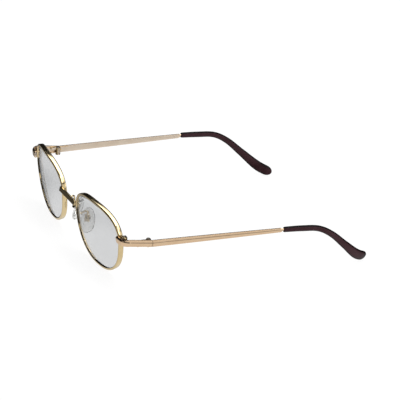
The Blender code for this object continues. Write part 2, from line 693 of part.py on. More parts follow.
# ---------------------------------------------------------------- assembly
def make_side(side_name, side, look):
    temple_body = "temple_" + side_name
    pad_body = "pad_" + side_name
    add_body(temple_body, mirrored((PIN_X, PIN_Y, PIN_Z), side))
    add_body(pad_body, mirrored(pad_point(PAD_PIN_AT, 0, 0), side))
    make_rim("rim_" + side_name, side, look)
    make_lens("lens_" + side_name, side, look)
    make_lock(side_name, side, look)
    make_end_piece("end_piece_" + side_name, side, look)
    make_front_leaf("hinge_front_leaf_" + side_name, side, look)
    make_temple_leaf("hinge_temple_leaf_" + side_name, side, temple_body, look)
    make_screw("hinge_screw_" + side_name, (PIN_X, PIN_Y), PIN_RADIUS, HEAD_RADIUS,
               PIN_Z - KNUCKLE_REACH - 0.1, PIN_Z + KNUCKLE_REACH + RUN_GAP, HEAD_HEIGHT, look, side)
    make_temple("temple_bar_" + side_name, side, temple_body, look)
    make_tip("temple_tip_" + side_name, side, temple_body, look)
    make_pad(side_name, side, pad_body, look)


def main():
    clear_scene()
    look = make_materials()
    make_bridge(look)
    for side_name, side in (("left", 1), ("right", -1)):
        make_side(side_name, side, look)


main()
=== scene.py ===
"""Full-rim metal eyeglasses: fine shapes, materials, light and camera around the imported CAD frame.

Shapes are worked out in millimetres for the wearer's left side and mirrored for the right.
"""
import math

import bmesh
import bpy
import numpy as np
from mathutils import Matrix, Vector


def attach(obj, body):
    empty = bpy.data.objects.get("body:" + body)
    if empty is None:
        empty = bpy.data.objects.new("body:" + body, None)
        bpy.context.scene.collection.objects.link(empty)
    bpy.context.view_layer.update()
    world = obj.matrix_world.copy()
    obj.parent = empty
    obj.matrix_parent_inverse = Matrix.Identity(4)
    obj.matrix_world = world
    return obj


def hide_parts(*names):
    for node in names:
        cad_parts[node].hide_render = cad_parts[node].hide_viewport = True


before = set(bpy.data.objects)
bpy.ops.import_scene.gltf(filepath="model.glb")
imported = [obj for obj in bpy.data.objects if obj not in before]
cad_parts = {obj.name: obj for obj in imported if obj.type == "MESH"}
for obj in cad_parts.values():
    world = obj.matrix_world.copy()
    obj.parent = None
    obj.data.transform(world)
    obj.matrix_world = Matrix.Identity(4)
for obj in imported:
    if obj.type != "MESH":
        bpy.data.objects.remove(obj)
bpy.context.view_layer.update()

MM = 0.001
DATUM_Y = -70.87          # puts the origin midway between the bridge and the rear ends
DATUM_Z = 0.324           # puts the lowest edges of the rims and the tips on Z = 0
TOUCH_GAP = 0.02          # between pieces that are soldered or seated together
RUN_GAP = 0.06            # between pieces that turn on each other
ARC_ROOM = 0.49           # the share of an edge that one rounded corner may take
FINE_STEPS = 40           # points between two given points of a smooth line

# Rims and lenses
RIM_HALF_WIDTH = 25.3
RIM_HALF_HEIGHT = 18.7
RIM_SQUARENESS = 2.45     # 2 would be an ellipse
RIM_TOP_FLARE = 0.13      # how much wider the top is than the middle
RIM_CENTRE_X = 35.15
RIM_CENTRE_Z = 17.9
RIM_FRONT_Y = -1.0
RIM_DEPTH = 2.6
RIM_WALL = 1.4
RIM_CROWN = 0.13          # how far the outside falls in at the front edge
RIM_BACK_CROWN = 0.05     # and at the back edge
RIM_WIDEST_AT = 0.76      # the widest place, as a share of the depth
RIM_KNEE_AT = 0.4         # where the outside bends toward the front edge
RIM_KNEE_SHARE = 0.42     # and how much of the crown it has fallen by there
RIM_CORNERS = (0.42, 0.2, 0.04, 0.05, 0.04, 0.2, 0.24, 0.7, 2.5)
RIM_SPLIT_GAP = 0.12
SPLIT_MARGIN = 0.08       # least distance from a cut face to the next ring
GROOVE_DEPTH = 0.42
OUTLINE_SAMPLES = 11521
RIM_STEPS = 288
FRONT_RADIUS = 130.0      # of the sphere that the front follows
WRAP = math.radians(4.95)
TILT = math.radians(8.8)
LENS_THICKNESS = 1.6
LENS_STEPS = 144
LENS_RINGS = 14
LENS_RING_POWER = 0.8     # below 1, the rings crowd toward the edge
LENS_EDGE_GAP = 0.06      # between the lens's edge and the rim's inner face
LENS_APEX_GAP = 0.14      # between the bevel's apex and the groove's floor
LENS_BEVEL_SHARE = 0.8    # half the bevel's width over the groove's depth
LENS_EASE_FROM = 0.985    # the faces fall off from this share of the way out
LENS_EASE = 0.05          # by this much

# Rim lock
LOCK_X = 62.55
LOCK_Y = 4.65
LOCK_RADIUS = 1.6
LOCK_RIM_SIDE = 60.65
LOCK_SPLIT_Z = 25.1
LOCK_UPPER = 1.95
LOCK_LOWER = 2.2
LOCK_SCREW_RADIUS = 0.45
LOCK_HEAD_RADIUS = 0.95
LOCK_HEAD_HEIGHT = 0.4
LOCK_SCREW_SHORT = 0.1    # how far the screw ends above the lower block's bottom
LOCK_SIDES = 33

# Screws
SCREW_SIDES = 40
SCREW_TIP_SHARE = 0.7     # the tip's radius over the shank's
SCREW_CHAMFER = 0.12
HEAD_EASE = 0.04
DOME_SHARE = 0.5          # the dome's height over the head's
DOME_FLAT = 0.62          # the flat top's radius over the head's
DOME_FILL = 0.97
DOME_STEPS = 8
SLOT_HALF_WIDTH = 0.13
SLOT_REACH = 2.0
SLOT_DEPTH = 0.22
HOLE_SIDES = 32
CUT_PAST = 1.0            # how far a cutting shape goes past the face it cuts
POINT_RADIUS = 0.02       # of a ring that closes a turned shape

# Bridge
BRIDGE_Z = 25.2
BRIDGE_Y = -2.5
BRIDGE_HALF_SPAN = 10.6
BRIDGE_HEIGHT = 2.6
BRIDGE_THICKNESS = 1.4
BRIDGE_RISE = 0.45
BRIDGE_BULGE = 0.3
BRIDGE_BEVEL = 0.2
BRIDGE_LEAN = 0.42        # how far the front face leans back at its top
BRIDGE_END_SHARE = 0.8    # the section's size at the very ends
BRIDGE_END_ROUND = 0.4
BRIDGE_END_STEPS = (0.03, 0.1, 0.2, 0.33)
BRIDGE_STEPS = 61
BRIDGE_CORNERS = (0.12, 0.12, 0.12, 0.14, 0.14, 0.12)

# End pieces and temples
BAR_X = 67.4
BAR_HEIGHT = 3.6
BAR_THICKNESS = 1.3
BAR_EDGE = 0.85           # thickness at the top and bottom edges
BAR_CORNERS = (0.12, 0.05, 0.06, 1.5, 0.14)
RIDGE_SHARE = 0.13        # the ridge's height above the middle, over the bar's height
END_FRONT_Y = 1.75
END_INNER_X = 59.4
END_FRONT_Z = 25.5
END_DROP = 0.6            # added to the bottom edge at the front
END_TRIM = 0.6            # taken off the top edge at the front
END_STARTS = (0, 0.08, 0.2, 0.36, 0.6, 1.2, 2.0)
END_SLOPE = 0.04          # of the first part, across the front
END_TAPER = 0.75          # the section's height at the rim
END_ROUND = 0.8
CORNER_RADIUS = 4.2
CORNER_BACK = 0.35
CORNER_START = math.radians(-86)
CORNER_STEPS = 31
END_STEPS = 60            # across the front and round the corner
STRAIGHT_STEPS = 14
LEVEL_SHARE = 0.1         # how much of the bar is level before it drops to the hinge
JOINT_Y = 18.35
JOINT_Z = 23.95
JOINT_GAP = 0.1
METAL_END = (68.9, 90.7, 25.05)
METAL_END_HEIGHT = 2.3
METAL_END_THICKNESS = 1.0
METAL_TAPER_POWER = 1.4
TEMPLE_STEPS = 49
TEMPLE_END_SHARE = 0.5    # the section's size at the very end
TEMPLE_END_ROUND = 1.3
TEMPLE_END_STEPS = (0.05, 0.15, 0.3, 0.5, 0.75, 1.05)
CORE_RADIUS = 0.6
CORE_ROOT = (0.03, 1.2, 0.05)     # how far inside the bar the core starts
CORE_RINGS = 8
CORE_LINE_STEPS = 40
BRUSHED_SLOPE = -0.95     # faces that look further inward than this are brushed

# Temple tips: points of the centre line, each with the half height and half thickness there
TIP_LINE = (
    (68.93, 91.3, 25.3, 1.5, 1.05),
    (68.85, 101.5, 24.95, 1.62, 1.1),
    (68.9, 111.5, 23.95, 1.62, 1.1),
    (68.6, 119.7, 19.85, 1.75, 1.1),
    (67.2, 128.4, 12.6, 2.1, 1.05),
    (64.0, 137.6, 4.95, 2.75, 1.0),
    (60.4, 145.1, 1.3, 2.75, 0.95),
)
TIP_STEPS = 120
TIP_SIDES = 40
TIP_SQUARENESS = 2.3
TIP_ROUND = 2.8           # length of the CAD tip's rounded end
TIP_END_EASE = 1.2        # and how much sooner the rounding starts here
TIP_END_LEAST = 0.04      # the last ring's size
TIP_END_STEPS = (0.03, 0.1, 0.22, 0.4, 0.62, 0.9, 1.25)
TIP_MOUTH_SHARE = 0.78    # the first ring's size
TIP_MOUTH_ROUND = 0.9
TIP_MOUTH_STEPS = (0.06, 0.18, 0.4, 0.7)
TIP_FULLNESS = 0.985      # keeps the sleeve just inside the CAD tip
BORE_RINGS = 12
BORE_GAP = 0.05

# Hinge
PIN_X = 65.2
PIN_Y = 16.95
PIN_Z = 23.75
KNUCKLE_RADIUS = 1.3
KNUCKLE_REACH = 2.0
MIDDLE_REACH = 0.7
PIN_RADIUS = 0.55
PIN_TAIL = 0.1            # how far the screw ends below the lowest knuckle
HEAD_RADIUS = 1.1
HEAD_HEIGHT = 0.4
LEAF_LOW = -1.25
LEAF_HIGH = 1.7
LEAF_BEHIND = 0.24
ARM_REACH = 2.6
ARM_PAST_PIN = 0.1        # how far inside the screw's line an arm starts
TEMPLE_ARM_REACH = 0.6
TEMPLE_ARM_PAST_PIN = 0.5
LEAF_THICKNESS = 0.5
LEAF_LENGTH = 5.2
TEMPLE_LEAF_LENGTH = 5.0
LEAF_OUT = BAR_X - BAR_THICKNESS / 2 - TOUCH_GAP

# Nose pads
PAD_CENTRE = (8.05, 7.1, 15.2)
PAD_LENGTH = 13.6
PAD_WIDTH = 7.6
PAD_THICKNESS = 2.0
PAD_DROP = 1.3
PAD_SPLAY = math.radians(32)
PAD_FLARE = math.radians(17)
PAD_SIDES = 72
PAD_RINGS = 21
PAD_LAST_RING = 84        # degrees above the middle of the pad's edge
PAD_ROUND_POWER = 0.42
PAD_NARROWING = 0.1       # how much narrower the pad is toward its top
POCKET_DEPTH = 0.8
POCKET_GAP = 0.05
INSERT_WIDTH = 1.5
INSERT_HEIGHT = 2.2
INSERT_REACH = 1.9
INSERT_CUT = 3.0          # how far to each side the cut for the screw's hole goes
BOX_CUT = 4.0
BOX_WALL = 0.4
BOX_BACK = -INSERT_REACH - 0.25
BOX_FRONT = -0.35
BOX_ROOM = 0.32           # above and below the insert, for the pad to rock
PAD_PIN_AT = -INSERT_REACH + 0.85
PAD_PIN_RADIUS = 0.35
PAD_PIN_CHAMFER = 0.1
PAD_HEAD = ((0.63, 0), (0.65, 0.05), (0.65, 0.18), (0.6, 0.29), (0.48, 0.35), (0.02, 0.35))
PAD_SLOT_FLOOR = 0.17
PAD_SLOT_HALF_WIDTH = 0.1

# Pad arms: points from the rim, then places behind the pad box as (outward, up)
ARM_RADIUS = 0.45
ARM_START = ((10.6, 2.27, 19.05), (10.4, 3.6, 19.9), (10.7, 4.8, 20.2), (11.2, 6.0, 19.7))
ARM_ENDS = ((-0.15, 2.3), (0.0, 0.8), (0.0, -0.9))
ARM_STEPS = 90
ARM_FOOT = 0.7            # how much wider the arm is where it is soldered
ARM_FOOT_LENGTH = 1.2
ARM_END_ROUND = 0.4
ARM_END_LEAST = 0.3
WIRE_SIDES = 24

# Camera
CAMERA_PLACE = (1.38816, -0.63889, 0.6358)
CAMERA_AZIMUTH = math.radians(65.17)
CAMERA_ELEVATION = math.radians(22.06)
CAMERA_ROLL = math.radians(4.49)
CAMERA_LENS = 276.92
CAMERA_SENSOR = 36.0

# Floor (in metres) and light
FLOOR_HALF = 6.0
FLOOR_DROP = 0.0002
FLOOR_TONE = 0.16
FLOOR_GLOW = 0.92
AMBIENT = 0.012
DARKEST = 0.004


# -------------------- node helpers
def node(tree, kind, **settings):
    made = tree.nodes.new(kind)
    for key, value in settings.items():
        setattr(made, key, value)
    return made


def link(tree, source, target):
    tree.links.new(source, target)


def maths(tree, operation, *inputs):
    """A Math node; each input is a number or a socket."""
    made = node(tree, "ShaderNodeMath", operation=operation)
    for i, value in enumerate(inputs):
        if isinstance(value, (int, float)):
            made.inputs[i].default_value = value
        else:
            link(tree, value, made.inputs[i])
    return made.outputs[0]


def smooth_range(tree, value, low, high, to_low=0.0, to_high=1.0):
    """Maps low..high to to_low..to_high with soft ends, and holds the value outside that."""
    made = node(tree, "ShaderNodeMapRange", interpolation_type="SMOOTHSTEP", clamp=True)
    link(tree, value, made.inputs["Value"])
    made.inputs["From Min"].default_value = low
    made.inputs["From Max"].default_value = high
    made.inputs["To Min"].default_value = to_low
    made.inputs["To Max"].default_value = to_high
    return made.outputs["Result"]


def noise(tree, scale, detail, roughness=0.55, stretch=(1, 1, 1), offset=0.0):
    """Noise in the object's own space, with features about 1/scale of a metre."""
    where = node(tree, "ShaderNodeTexCoord")
    mapping = node(tree, "ShaderNodeMapping")
    mapping.inputs["Scale"].default_value = stretch
    mapping.inputs["Location"].default_value = (offset, offset * 0.7, offset * 1.3)
    link(tree, where.outputs["Object"], mapping.inputs["Vector"])
    made = node(tree, "ShaderNodeTexNoise")
    made.inputs["Scale"].default_value = scale
    made.inputs["Detail"].default_value = detail
    made.inputs["Roughness"].default_value = roughness
    link(tree, mapping.outputs["Vector"], made.inputs["Vector"])
    return made.outputs["Fac"]


def ramp(tree, value, stops):
    """A colour ramp through (place, colour) stops."""
    made = node(tree, "ShaderNodeValToRGB")
    while len(made.color_ramp.elements) < len(stops):
        made.color_ramp.elements.new(0.5)
    for element, (place, colour) in zip(made.color_ramp.elements, stops):
        element.position = place
        element.color = (*colour, 1)
    link(tree, value, made.inputs["Fac"])
    return made.outputs["Color"]


def bump(tree, shader, height, distance, strength):
    made = node(tree, "ShaderNodeBump")
    made.inputs["Distance"].default_value = distance
    made.inputs["Strength"].default_value = strength
    link(tree, height, made.inputs["Height"])
    link(tree, made.outputs["Normal"], shader.inputs["Normal"])


def new_material(name):
    material = bpy.data.materials.new(name)
    material.use_nodes = True
    tree = material.node_tree
    return material, tree, tree.nodes["Principled BSDF"]


def tint(tree, shader, value, places, tones):
    """Base colour from a ramp that has one tone at each place of the value."""
    link(tree, ramp(tree, value, tuple(zip(places, tones))), shader.inputs["Base Color"])


def vary_roughness(tree, shader, value, low, high, smoothest, roughest):
    """Roughness from smoothest to roughest, as the value goes from low to high."""
    roughness = smooth_range(tree, value, low, high, smoothest, roughest)
    link(tree, roughness, shader.inputs["Roughness"])


# -------------------- materials
# Tones are linear RGB, the darkest first. A gloss is a range of roughness.
RIM_TONES = ((0.66, 0.51, 0.28), (0.705, 0.555, 0.315), (0.73, 0.585, 0.345))
BAR_TONES = ((0.67, 0.475, 0.3), (0.715, 0.515, 0.335), (0.74, 0.545, 0.365))
SATIN_TONES = ((0.83, 0.68, 0.53), (0.87, 0.73, 0.585), (0.9, 0.77, 0.63))
STEEL_TONES = ((0.15, 0.125, 0.1), (0.25, 0.215, 0.175))
LENS_TONES = ((0.596, 0.602, 0.609), (0.621, 0.627, 0.633))
SILICONE_TONES = ((0.86, 0.86, 0.84), (0.94, 0.94, 0.93))
TIP_TONES = ((0.03, 0.01, 0.013), (0.044, 0.017, 0.021), (0.06, 0.028, 0.034))
# near-black painted shade for the tips' top and bottom edges and their round ends
TIP_PAINTED_SHADE_TONE = (0.002, 0.0012, 0.0014)
POLISHED = (0.07, 0.15)
BRUSHED = (0.34, 0.46)
LENS_IOR = 1.5
SILICONE_IOR = 1.41
TIP_SPECULAR = 0.12


def gold_metal(name, stretch, tones, gloss):
    """Gold plating with faint tone drift, fine polishing lines and dulled patches."""
    material, tree, shader = new_material(name)
    shader.inputs["Metallic"].default_value = 1.0
    tint(tree, shader, noise(tree, 160, 5, 0.6), (0.3, 0.5, 0.72), tones)
    lines = noise(tree, 1400, 3, 0.5, stretch, 3.0)
    patches = noise(tree, 420, 4, 0.6, offset=8.0)
    grain = maths(tree, "MULTIPLY_ADD", lines, 0.35, patches)
    vary_roughness(tree, shader, grain, 0.45, 1.0, *gloss)
    bump(tree, shader, lines, 0.000004, 0.35)
    return material


def screw_steel():
    """Dark turned steel."""
    material, tree, shader = new_material("screw_steel_turned")
    shader.inputs["Metallic"].default_value = 1.0
    tint(tree, shader, noise(tree, 900, 4), (0.3, 0.7), STEEL_TONES)
    vary_roughness(tree, shader, noise(tree, 2500, 3, offset=2.0), 0.3, 0.7, 0.16, 0.34)
    bump(tree, shader, noise(tree, 3500, 2, offset=5.0), 0.000005, 0.4)
    return material


def clear_lens():
    """Clear resin with a faint grey haze and a polish that varies a little."""
    material, tree, shader = new_material("lens_clear_polished")
    shader.inputs["Transmission Weight"].default_value = 1.0
    shader.inputs["IOR"].default_value = LENS_IOR
    tint(tree, shader, noise(tree, 45, 3, 0.5), (0.3, 0.7), LENS_TONES)
    vary_roughness(tree, shader, noise(tree, 130, 5, offset=4.0), 0.35, 0.8, 0.0, 0.025)
    return material


def clear_silicone():
    """Soft clear plastic, slightly cloudy."""
    material, tree, shader = new_material("silicone_clear")
    shader.inputs["Transmission Weight"].default_value = 0.85
    shader.inputs["IOR"].default_value = SILICONE_IOR
    tint(tree, shader, noise(tree, 320, 4), (0.3, 0.7), SILICONE_TONES)
    vary_roughness(tree, shader, noise(tree, 800, 3, offset=6.0), 0.3, 0.7, 0.08, 0.2)
    bump(tree, shader, noise(tree, 1600, 2, offset=1.0), 0.00001, 0.3)
    return material


def brown_tip():
    """Satin acetate with a faint flow of brown tones, and painted shade that makes it almost black
    round its edges, where the surface does not face sideways.
    """
    material, tree, shader = new_material("tip_acetate_satin")
    flow = noise(tree, 240, 5, 0.6, (1.0, 0.28, 0.6))
    tone = ramp(tree, flow, tuple(zip((0.28, 0.52, 0.78), TIP_TONES)))
    where = node(tree, "ShaderNodeTexCoord")
    split = node(tree, "ShaderNodeSeparateXYZ")
    link(tree, where.outputs["Normal"], split.inputs[0])
    sideways = maths(tree, "ABSOLUTE", split.outputs[0])
    mix = node(tree, "ShaderNodeMix", data_type="RGBA")    # its colours are sockets 6 and 7
    # painted shade: where the normal turns away from the sides, the colour blends to the near-black
    # painted shade tone
    link(tree, smooth_range(tree, sideways, 0.8, 0.95), mix.inputs[0])
    mix.inputs[6].default_value = (*TIP_PAINTED_SHADE_TONE, 1)
    link(tree, tone, mix.inputs[7])
    link(tree, mix.outputs[2], shader.inputs["Base Color"])
    shader.inputs["Specular IOR Level"].default_value = TIP_SPECULAR
    vary_roughness(tree, shader, noise(tree, 900, 4, offset=7.0), 0.3, 0.72, 0.3, 0.46)
    bump(tree, shader, noise(tree, 2600, 3, offset=9.0), 0.000012, 0.45)
    return material


LOOK = {
    "gold": gold_metal("gold_plate_polished", (1, 1, 1), RIM_TONES, POLISHED),
    "gold_long": gold_metal("gold_plate_drawn", (1.0, 0.05, 1.0), BAR_TONES, POLISHED),
    "gold_satin": gold_metal("gold_plate_brushed", (1.0, 0.03, 1.0), SATIN_TONES, BRUSHED),
    "steel": screw_steel(),
    "lens": clear_lens(),
    "silicone": clear_silicone(),
    "tip": brown_tip(),
}
SOFT_SEGMENTS = 3
SOFT_FROM = math.radians(32)      # edges sharper than this are rounded


# -------------------- making pieces
def make_mesh(name, verts, faces, side=1):
    """A closed mesh from points in millimetres of the left side, with its faces outward."""
    mesh = bpy.data.meshes.new(name)
    points = [((x * side) * MM, (y + DATUM_Y) * MM, (z + DATUM_Z) * MM) for x, y, z in verts]
    mesh.from_pydata(points, [], faces)
    shape = bmesh.new()
    shape.from_mesh(mesh)
    bmesh.ops.recalc_face_normals(shape, faces=shape.faces)
    if shape.calc_volume(signed=True) < 0:
        bmesh.ops.reverse_faces(shape, faces=shape.faces)
    shape.to_mesh(mesh)
    shape.free()
    return mesh


def new_object(name, data):
    made = bpy.data.objects.new(name, data)
    bpy.context.scene.collection.objects.link(made)
    return made


def combine(mesh, operation, other):
    """The mesh after an exact Boolean with another."""
    holder, guide = new_object("work", mesh), new_object("guide", other)
    step = holder.modifiers.new("step", "BOOLEAN")
    step.operation = operation
    step.solver = "EXACT"
    step.object = guide
    depsgraph = bpy.context.evaluated_depsgraph_get()
    made = bpy.data.meshes.new_from_object(holder.evaluated_get(depsgraph))
    made.name = mesh.name
    for thing in (holder, guide):
        bpy.data.objects.remove(thing, do_unlink=True)
    return made


def join(mesh, shape, side):
    """The mesh with a closed shape added."""
    return combine(mesh, "UNION", make_mesh("added", *shape, side))


def cut(mesh, shape, side):
    """The mesh with a closed shape taken away."""
    return combine(mesh, "DIFFERENCE", make_mesh("cutter", *shape, side))


def bore(mesh, centre, radius, low, high, side):
    """The mesh with an upright round hole right through it, for a screw of that radius."""
    hole = circle(centre, radius + RUN_GAP, HOLE_SIDES)
    return cut(mesh, prism(hole, low - CUT_PAST, high + CUT_PAST), side)


def add_piece(name, mesh, look, body, nodes, sharp_from=40, soften=0.0):
    """A visible piece on a CAD body, in place of the CAD nodes.

    Edges below sharp_from degrees are shaded smooth, and a soften above 0 rounds the hard
    edges by that many millimetres.
    """
    mesh.shade_smooth()
    mesh.set_sharp_from_angle(angle=math.radians(sharp_from))
    mesh.materials.clear()
    mesh.materials.append(LOOK[look])
    thing = new_object(name, mesh)
    if soften:
        bevel = thing.modifiers.new("soft_edges", "BEVEL")
        bevel.width = soften * MM
        bevel.segments = SOFT_SEGMENTS
        bevel.limit_method = "ANGLE"
        bevel.angle_limit = SOFT_FROM
        bevel.harden_normals = True
    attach(thing, body)
    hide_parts(*nodes)
    return thing


# -------------------- shapes from rings
def loft(rings):
    """Skins a row of rings that have the same number of points, and caps both ends."""
    count = len(rings[0])
    verts = [tuple(point) for ring in rings for point in ring]
    faces = []
    for a in range(0, len(verts) - count, count):
        b = a + count
        for j in range(count):
            k = (j + 1) % count
            faces.append((a + j, a + k, b + k, b + j))
    faces.append(tuple(range(count - 1, -1, -1)))
    faces.append(tuple(range(len(verts) - count, len(verts))))
    return verts, faces


def prism(outline, low, high):
    """A flat outline drawn upward from low to high."""
    return loft([[(x, y, low) for x, y in outline], [(x, y, high) for x, y in outline]])


def circle(centre, radius, sides=48, start=0.0, turn=2 * math.pi):
    """Points on a circle, or on an arc with both of its ends."""
    steps = sides if turn == 2 * math.pi else sides - 1
    angles = [start + turn * i / steps for i in range(sides)]
    return [(centre[0] + radius * math.cos(a), centre[1] + radius * math.sin(a)) for a in angles]


def rectangle(low, high):
    return [(low[0], low[1]), (high[0], low[1]), (high[0], high[1]), (low[0], high[1])]


def rounded(corners, radii, steps):
    """A closed outline whose corners are arcs, each in just under half of its shorter edge."""
    outline = []
    count = len(corners)
    for i, radius in enumerate(radii):
        here = np.array(corners[i], float)
        before = np.array(corners[i - 1], float) - here
        after = np.array(corners[(i + 1) % count], float) - here
        before_length, after_length = np.linalg.norm(before), np.linalg.norm(after)
        before, after = before / before_length, after / after_length
        half = math.acos(max(-1.0, min(1.0, float(before @ after)))) / 2
        room = ARC_ROOM * min(before_length, after_length)
        reach = min(radius / math.tan(half), room)
        radius = reach * math.tan(half)
        middle = before + after
        centre = here + middle / np.linalg.norm(middle) * (radius / math.sin(half))
        first, last = here + before * reach - centre, here + after * reach - centre
        turn = math.pi - 2 * half
        for j in range(steps + 1):
            share = j / steps
            a = math.sin((1 - share) * turn) / math.sin(turn)
            b = math.sin(share * turn) / math.sin(turn)
            outline.append(tuple(centre + first * a + last * b))
    return outline


def length_along(line):
    """How far each point of a line is from its start."""
    steps = np.linalg.norm(np.diff(line, axis=0), axis=1)
    return np.concatenate([[0], np.cumsum(steps)])


def smooth_line(points, steps):
    """A Catmull-Rom curve through the points, sampled evenly by length."""
    p = np.array(points, float)
    p = np.vstack([2 * p[0] - p[1], p, 2 * p[-1] - p[-2]])
    fine = []
    for i in range(1, len(p) - 2):
        for t in np.linspace(0, 1, FINE_STEPS, endpoint=False):
            fine.append(0.5 * (2 * p[i] + (p[i + 1] - p[i - 1]) * t
                               + (2 * p[i - 1] - 5 * p[i] + 4 * p[i + 1] - p[i + 2]) * t ** 2
                               + (3 * p[i] - p[i - 1] - 3 * p[i + 1] + p[i + 2]) * t ** 3))
    fine.append(p[-2])
    fine = np.array(fine)
    length = length_along(fine)
    wanted = np.linspace(0, length[-1], steps)
    return np.column_stack([np.interp(wanted, length, fine[:, k]) for k in range(p.shape[1])])


def sweep_axes(line, sideways):
    """At each point of a line: an axis that starts near 'sideways' and one across both."""
    axes = []
    across = np.array(sideways, float)
    for tangent in np.gradient(line, axis=0):
        forward = tangent / np.linalg.norm(tangent)
        across = across - forward * np.dot(across, forward)
        across /= np.linalg.norm(across)
        axes.append((across, np.cross(across, forward)))
    return axes


def oval_rings(line, half_heights, half_thickness, sides, sideways=(1, 0, 0), squareness=2.0):
    """Oval sections along a line, for tips and wires."""
    turns = np.linspace(0, 2 * math.pi, sides, endpoint=False)
    power = 2 / squareness
    cos = np.sign(np.cos(turns)) * np.abs(np.cos(turns)) ** power
    sin = np.sign(np.sin(turns)) * np.abs(np.sin(turns)) ** power
    rings = []
    axes = sweep_axes(line, sideways)
    for centre, (across, upward), h, w in zip(line, axes, half_heights, half_thickness):
        rings.append([centre + across * w * c + upward * h * s for c, s in zip(cos, sin)])
    return rings


def round_share(distance, radius, least=0.0):
    """How full a round end is at a distance from its tip: least at the tip, then up to 1."""
    if distance >= radius:
        return 1.0
    return least + (1 - least) * math.sqrt(max(0.0, 1 - (1 - distance / radius) ** 2))


def turned(centre, profile):
    """A turned solid that stands upright: the profile is (radius, height) from low to high."""
    return loft([[(x, y, z) for x, y in circle(centre, radius, SCREW_SIDES)]
                 for radius, z in profile])


# -------------------- rims and lenses
def rim_outline(steps):
    """The rim's outer edge in its own plane, evenly spaced, from the temple side upward."""
    turns = np.linspace(0, 2 * math.pi, OUTLINE_SAMPLES)
    cos, sin = np.cos(turns), np.sin(turns)
    power = 2 / RIM_SQUARENESS
    x = RIM_HALF_WIDTH * np.sign(cos) * np.abs(cos) ** power
    z = RIM_HALF_HEIGHT * np.sign(sin) * np.abs(sin) ** power
    x = x * (1 + RIM_TOP_FLARE * z / RIM_HALF_HEIGHT)
    length = np.concatenate([[0], np.cumsum(np.hypot(np.diff(x), np.diff(z)))])
    wanted = np.linspace(0, length[-1], steps + 1)[:-1]
    return np.column_stack([np.interp(wanted, length, x), np.interp(wanted, length, z)])


def inset(outline, distance):
    """The outline moved inward, square to itself."""
    along = np.roll(outline, -1, axis=0) - np.roll(outline, 1, axis=0)
    along /= np.linalg.norm(along, axis=1)[:, None]
    inward = np.column_stack([-along[:, 1], along[:, 0]])
    return outline + inward * distance


def on_front(flat, depth):
    """A point of the rim's plane, set on the curved front and pushed back by depth."""
    x, z = flat
    y = FRONT_RADIUS - math.sqrt(FRONT_RADIUS ** 2 - x * x - z * z)
    back = Vector((-x, FRONT_RADIUS - y, -z)).normalized()
    point = Vector((x, y, z)) + back * depth
    x, y = (point.x * math.cos(WRAP) - point.y * math.sin(WRAP),
            point.x * math.sin(WRAP) + point.y * math.cos(WRAP))
    y, z = (y * math.cos(TILT) - point.z * math.sin(TILT),
            y * math.sin(TILT) + point.z * math.cos(TILT))
    return Vector((x + RIM_CENTRE_X, y + RIM_FRONT_Y, z + RIM_CENTRE_Z))


def rim_profile():
    """The eye wire's section as (inward, back): crowned outside, with a V groove inside."""
    mid = RIM_DEPTH / 2
    corners = [(RIM_CROWN, 0), (RIM_WALL, 0), (RIM_WALL, mid - GROOVE_DEPTH),
               (RIM_WALL - GROOVE_DEPTH, mid), (RIM_WALL, mid + GROOVE_DEPTH),
               (RIM_WALL, RIM_DEPTH), (RIM_BACK_CROWN, RIM_DEPTH), (0, RIM_DEPTH * RIM_WIDEST_AT),
               (RIM_CROWN * RIM_KNEE_SHARE, RIM_DEPTH * RIM_KNEE_AT)]
    return rounded(corners, RIM_CORNERS, steps=4)


def rim_rings(steps):
    """The section set at even steps round the outline."""
    outline = rim_outline(steps)
    profile = rim_profile()
    loops = [inset(outline, inward) for inward, _ in profile]
    depths = [back for _, back in profile]
    return [[on_front(loop[i], back) for loop, back in zip(loops, depths)] for i in range(steps)]


def split_rings(rings, height, gap):
    """Opens a closed row of rings on the temple side, at a height, by a small gap."""
    mids = [sum(ring, Vector()) / len(ring) for ring in rings]
    start = next(i for i in range(len(rings)) if mids[i].z > height)
    before = (start - 1) % len(rings)
    rise = mids[start].z - mids[before].z

    def between(z):
        share = (z - mids[before].z) / rise
        return [a.lerp(b, share) for a, b in zip(rings[before], rings[start])]

    row = rings[start:] + rings[:start]
    if mids[start].z - (height + gap / 2) < SPLIT_MARGIN:
        row = row[1:]
    if (height - gap / 2) - mids[before].z < SPLIT_MARGIN:
        row = row[:-1]
    return [between(height + gap / 2)] + row + [between(height - gap / 2)]


def make_rim(name, side):
    """The eye wire, split at the temple side where the lock closes it."""
    rings = split_rings(rim_rings(RIM_STEPS), LOCK_SPLIT_Z, RIM_SPLIT_GAP)
    add_piece(f"eye_wire_{name}", make_mesh("eye_wire", *loft(rings), side), "gold", "front",
              [f"rim_{name}"])


